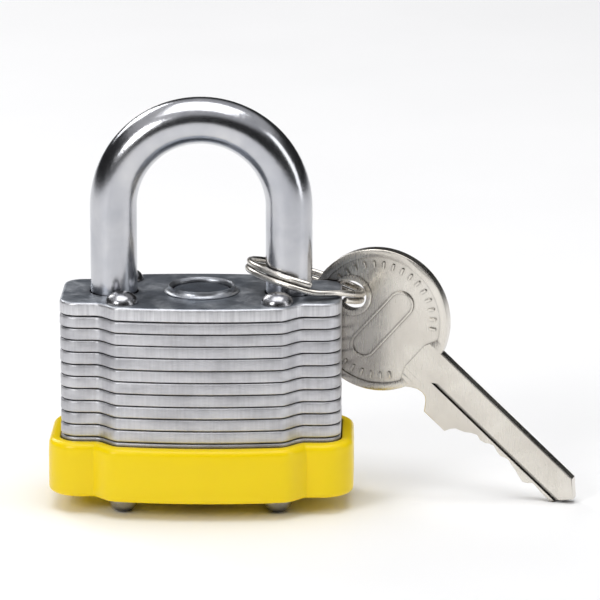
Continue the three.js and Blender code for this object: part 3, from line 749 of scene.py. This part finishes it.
def make_shackle():
    """One bar of varying thickness: toe, legs and bow, then the captive leg's neck and foot."""
    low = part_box("shackle")[0].z / MM
    bolt_low, bolt_high = [corner.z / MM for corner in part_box("bolt_left")]
    notch_low = bolt_low - NOTCH_MARGIN
    notch_high = bolt_high + NOTCH_MARGIN
    lip = notch_low - NOTCH_TO_LIP
    foot_top = low + FOOT_HEIGHT
    straight_top = STRAIGHT_TOP + TOP
    points = []
    radii = []

    def add(x, z, radius):
        points.append(Vector((x, 0, z)))
        radii.append(radius)

    toe = lip - 0.35
    for drop, cut in ((0, 0.55), (0.12, 0.3), (0.3, 0.1), (0.55, 0)):
        add(-LEG_X, toe + drop, ROD_RADIUS - cut)
    for i in range(1, 21):
        add(-LEG_X, toe + 0.55 + (straight_top - toe - 0.55) * i / 20, ROD_RADIUS)
    for i in range(1, 96):
        angle = math.pi * (1 - i / 96)
        add(LEG_X * math.cos(angle), straight_top + LEG_X * math.sin(angle), ROD_RADIUS)
    for i in range(21):
        add(LEG_X, straight_top + (lip - straight_top) * i / 20, ROD_RADIUS)
    add(LEG_X, lip - 0.02, NECK_RADIUS)
    add(LEG_X, foot_top + 0.02, NECK_RADIUS)
    add(LEG_X, foot_top, ROD_RADIUS - 0.1)
    add(LEG_X, low + 0.4, ROD_RADIUS - 0.1)
    add(LEG_X, low + 0.05, ROD_RADIUS - 0.4)
    piece = sweep("shackle_skin", points, radii, bright, 64)
    for side in (-1, 1):
        face = side * (LEG_X - ROD_RADIUS + NOTCH_DEPTH)
        past = side * (LEG_X - 2 * ROD_RADIUS)
        loop = [(min(face, past), -5), (max(face, past), -5), (max(face, past), 5), (min(face, past), 5)]
        carve(piece, prism("notch_tool", loop, notch_low, notch_high, bright))
    sharpen(piece, 40)
    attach(piece, "shackle")
    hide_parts("shackle")


# ---------------------------------------------------------------- ring and key

def make_ring():
    """Two turns of wire that cross from the lower layer to the upper one at the join."""
    normal = Vector((RING_FALL[0], RING_FALL[1], 1)).normalized()
    turn = Vector((0, 0, 1)).rotation_difference(normal).to_matrix()
    steps = 360
    points = []
    radii = []
    for i in range(steps + 1):
        degrees = RING_JOIN_ANGLE + RING_JOIN_HALF + i / steps * (720 - 2 * RING_JOIN_HALF)
        ramp = (degrees - (RING_JOIN_ANGLE - RING_JOIN_HALF + 360)) / (2 * RING_JOIN_HALF)
        ramp = min(max(ramp, 0), 1)
        rise = ramp * ramp * (3 - 2 * ramp) - 0.5
        angle = math.radians(degrees)
        local = Vector((RING_RADIUS * math.cos(angle), RING_RADIUS * math.sin(angle), RING_TURN_PITCH * rise))
        points.append(RING_CENTRE + turn @ local)
        near_end = min(i, steps - i)
        radii.append(RING_WIRE * (0.8 if near_end == 0 else 1))
    piece = sweep("key_ring_skin", points, radii, ring_nickel, 20, up=normal)
    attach(piece, "key_ring")
    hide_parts("key_ring")


def key_frame():
    """The key's own axes: X along the blade from the bow's centre, Y across it, Z out of its front face."""
    swing = next(joint for joint in frame["joints"] if joint["name"] == "key_swing")
    front = Vector(swing["axis"]).normalized()
    level = Vector((0, 0, 1)).cross(front).normalized()
    rise = front.cross(level).normalized()
    slope = math.radians(KEY_SLOPE)
    along = level * math.cos(slope) - rise * math.sin(slope)
    across = front.cross(along)
    matrix = Matrix((along, across, front)).transposed().to_4x4()
    matrix.translation = Vector(swing["pos_m"]) + along * (KEY_HOLE_OFFSET * MM)
    return matrix


def key_loop():
    """The key's outline, anticlockwise: round the bow, along the cuts to the tip and back up the spine."""
    first = math.degrees(math.asin(SPINE / BOW_RADIUS))
    last = 360 - 25
    bow = []
    for i in range(141):
        angle = math.radians(first + (last - first) * i / 140)
        bow.append((BOW_RADIUS * math.cos(angle), BOW_RADIUS * math.sin(angle)))
    return bow + [
        (10.2, -3.85), (11.0, -3.4), (11.8, -3.25), (12.5, -3.4), (13.0, -3.85), (13.9, LAND),
        (18.0, LAND), (18.4, -4.3), (18.9, -3.7), (20.2, -3.15), (21.0, -2.5), (21.8, -2.12),
        (22.6, -2.35), (23.4, -2.17), (24.0, -1.75), (24.6, -1.52), (25.5, -1.85), (26.3, -1.97),
        (27.4, -1.52), (28.3, -1.75), (29.2, -1.92), (30.3, -2.3), (31.2, -2.48), (31.8, -2.1),
        (32.4, -1.52), (34.5, -1.7), (36.0, -1.68), (38.15, 0.98), (36.0, SPINE),
    ]


def make_key():
    half = KEY_THICKNESS / 2
    rows = arc_rows(-KEY_EDGE, KEY_EDGE - half, KEY_EDGE, -90, 0, 3)
    rows += arc_rows(-KEY_EDGE, half - KEY_EDGE, KEY_EDGE, 0, 90, 3)
    eye = circle(-KEY_HOLE_OFFSET, 0, KEY_HOLE_RADIUS, 48)
    piece = shell("key_skin", key_loop(), rows, [eye], key_nickel)
    for front in (False, True):
        low, high = (half - FIELD_DEPTH, half + 1) if front else (-half - 1, FIELD_DEPTH - half)
        carve(piece, key_field(low, high))
        low, high = (half - GROOVE_DEPTH, half + 1) if front else (-half - 1, GROOVE_DEPTH - half)
        groove = [(11.8, GROOVE_LOW), (42, GROOVE_LOW), (42, GROOVE_HIGH), (12.6, GROOVE_HIGH)]
        carve(piece, prism("groove", groove, low, high, key_nickel))
    bevel(piece, 0.06, 40)
    piece.data.transform(key_frame())
    even_shading(piece, 45)
    piece.data.materials.clear()
    piece.data.materials.append(key_nickel)
    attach(piece, "key")
    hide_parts("key")


def key_field(low, high):
    """The part of the bow's face that is sunk: all but the rims, the capsule's line and the ticks."""
    field = prism("field", field_loop(), low, high, key_nickel)
    eye_rim = circle(-KEY_HOLE_OFFSET, 0, KEY_HOLE_RADIUS + EYE_RIM, 48)
    carve(field, prism("rim", eye_rim, low - 1, high + 1, key_nickel))
    pill = prism("pill", pill_loop(0), low - 1, high + 1, key_nickel)
    carve(pill, prism("pill_inner", pill_loop(PILL_LINE), low - 2, high + 2, key_nickel))
    carve(field, pill)
    carve(field, border_ticks(low - 1, high + 1))
    return field


def border_ticks(low, high):
    """Plain raised ticks round the bow's border, as one mesh."""
    vertices = []
    faces = []
    for i in range(TICK_COUNT):
        angle = math.radians(TICK_START + i * TICK_SPAN / (TICK_COUNT - 1))
        along = Vector((math.cos(angle), math.sin(angle)))
        across = Vector((-along.y, along.x)) * TICK_HALF_WIDTH
        start = len(vertices)
        for z in (low, high):
            for radius, side in ((TICK_INNER, 1), (TICK_OUTER, 1), (TICK_OUTER, -1), (TICK_INNER, -1)):
                corner = along * radius + across * side
                vertices.append((corner.x, corner.y, z))
        faces += [tuple(start + k for k in face) for face in
                  ((0, 1, 2, 3), (7, 6, 5, 4), (0, 4, 5, 1), (1, 5, 6, 2), (2, 6, 7, 3), (3, 7, 4, 0))]
    return new_object("ticks", vertices, faces, key_nickel, smooth=False)


def field_loop():
    """The bow's sunk field: round inside the rim, with a straight side and two flares towards the blade."""
    radius = BOW_RADIUS - FIELD_RIM
    points = []
    limit = math.degrees(math.asin(FIELD_CORNER / radius))
    for i in range(97):
        angle = math.radians(limit + (360 - 2 * limit) * i / 96)
        points.append((radius * math.cos(angle), radius * math.sin(angle)))
    return points + [(FIELD_END, -FIELD_END_HALF), (FIELD_END, FIELD_END_HALF)]


def pill_loop(inset):
    """A capsule outline, long across the key."""
    radius = PILL_HALF_WIDTH - inset
    straight = PILL_HALF_LENGTH - PILL_HALF_WIDTH
    points = []
    for turn, end in ((0, straight), (math.pi, -straight)):
        for i in range(25):
            angle = turn + math.pi * i / 24
            points.append((PILL_PLACE + radius * math.cos(angle), end + radius * math.sin(angle)))
    return points


# ---------------------------------------------------------------- inner pieces

def finish_inner_pieces():
    """The pieces inside the body keep their CAD shapes."""
    finishes = {"brass": brass_metal, "dark_steel": dark, "spring_steel": spring_metal}
    slots = {entry["node"]: entry["material_slot"] for entry in frame["record"]["subparts"]}
    for node, piece in frame["nodes"].items():
        if slots[node] in finishes:
            piece.data.materials.clear()
            piece.data.materials.append(finishes[slots[node]])


# ---------------------------------------------------------------- stage

def make_stage():
    mesh = bpy.data.meshes.new("floor")
    corners = [(-FLOOR_HALF, -FLOOR_HALF), (FLOOR_HALF, -FLOOR_HALF), (FLOOR_HALF, FLOOR_HALF),
               (-FLOOR_HALF, FLOOR_HALF)]
    mesh.from_pydata([(x * MM, y * MM, FLOOR * MM) for x, y in corners], [], [(0, 1, 2, 3)])
    floor = bpy.data.objects.new("floor", mesh)
    bpy.context.scene.collection.objects.link(floor)
    mesh.materials.append(floor_white())


def add_light(name, place, target, size, power, size_y=None):
    """A soft box of a size in metres and a power in watts."""
    data = bpy.data.lights.new(name, "AREA")
    data.shape = "RECTANGLE"
    data.size = size
    data.size_y = size_y or size
    data.energy = power
    lamp = bpy.data.objects.new(name, data)
    lamp.location = place
    lamp.rotation_euler = (Vector(target) - Vector(place)).to_track_quat("-Z", "Y").to_euler()
    bpy.context.scene.collection.objects.link(lamp)


def make_lights():
    """Soft boxes over and beside the subject, in a room that is bright above and dim round the horizon."""
    centre = (0.012, 0, 0)
    add_light("front_left", (-0.6, -0.7, 0.5), centre, 0.35, 3.4)
    add_light("right", (0.8, -0.3, 0.3), centre, 0.25, 1.3, 0.7)
    add_light("overhead", (0.0, -0.05, 0.9), centre, 0.8, 5.5)
    add_light("rear_left", (-0.5, 0.7, 0.5), centre, 0.4, 2.2)
    world = bpy.data.worlds.new("studio")
    bpy.context.scene.world = world
    world.use_nodes = True
    tree = world.node_tree
    direction = tree.nodes.new("ShaderNodeTexCoord")
    split = tree.nodes.new("ShaderNodeSeparateXYZ")
    tree.links.new(direction.outputs["Generated"], split.inputs[0])
    ramp = tree.nodes.new("ShaderNodeValToRGB")
    stops = ((0.0, 0.15), (0.06, 0.015), (0.5, 0.03), (0.68, 0.5))
    while len(ramp.color_ramp.elements) < len(stops):
        ramp.color_ramp.elements.new(0.5)
    for element, (position, value) in zip(ramp.color_ramp.elements, stops):
        element.position = position
        element.color = (value, value, value * 1.03, 1)
    tree.links.new(split.outputs["Z"], ramp.inputs["Fac"])
    tree.links.new(ramp.outputs["Color"], tree.nodes["Background"].inputs["Color"])
    tree.nodes["Background"].inputs["Strength"].default_value = 1.0


def make_camera():
    azimuth = math.radians(CAMERA_AZIMUTH)
    elevation = math.radians(CAMERA_ELEVATION)
    subject = Vector((0, 0, TOP * MM))
    direction = Vector((math.sin(azimuth) * math.cos(elevation),
                        -math.cos(azimuth) * math.cos(elevation),
                        math.sin(elevation)))
    data = bpy.data.cameras.new("camera")
    data.sensor_width = 36
    data.lens = LENS
    data.clip_start = 0.01
    camera = bpy.data.objects.new("camera", data)
    camera.location = subject + direction * (CAMERA_DISTANCE * MM)
    camera.rotation_euler = (CAMERA_AIM * MM - camera.location).to_track_quat("-Z", "Y").to_euler()
    bpy.context.scene.collection.objects.link(camera)
    bpy.context.scene.camera = camera
    bpy.context.scene.view_settings.view_transform = "Standard"


make_camera()
make_plates()
make_boss()
make_bumper()
make_rivets()
make_shackle()
make_ring()
make_key()
finish_inner_pieces()
make_stage()
make_lights()
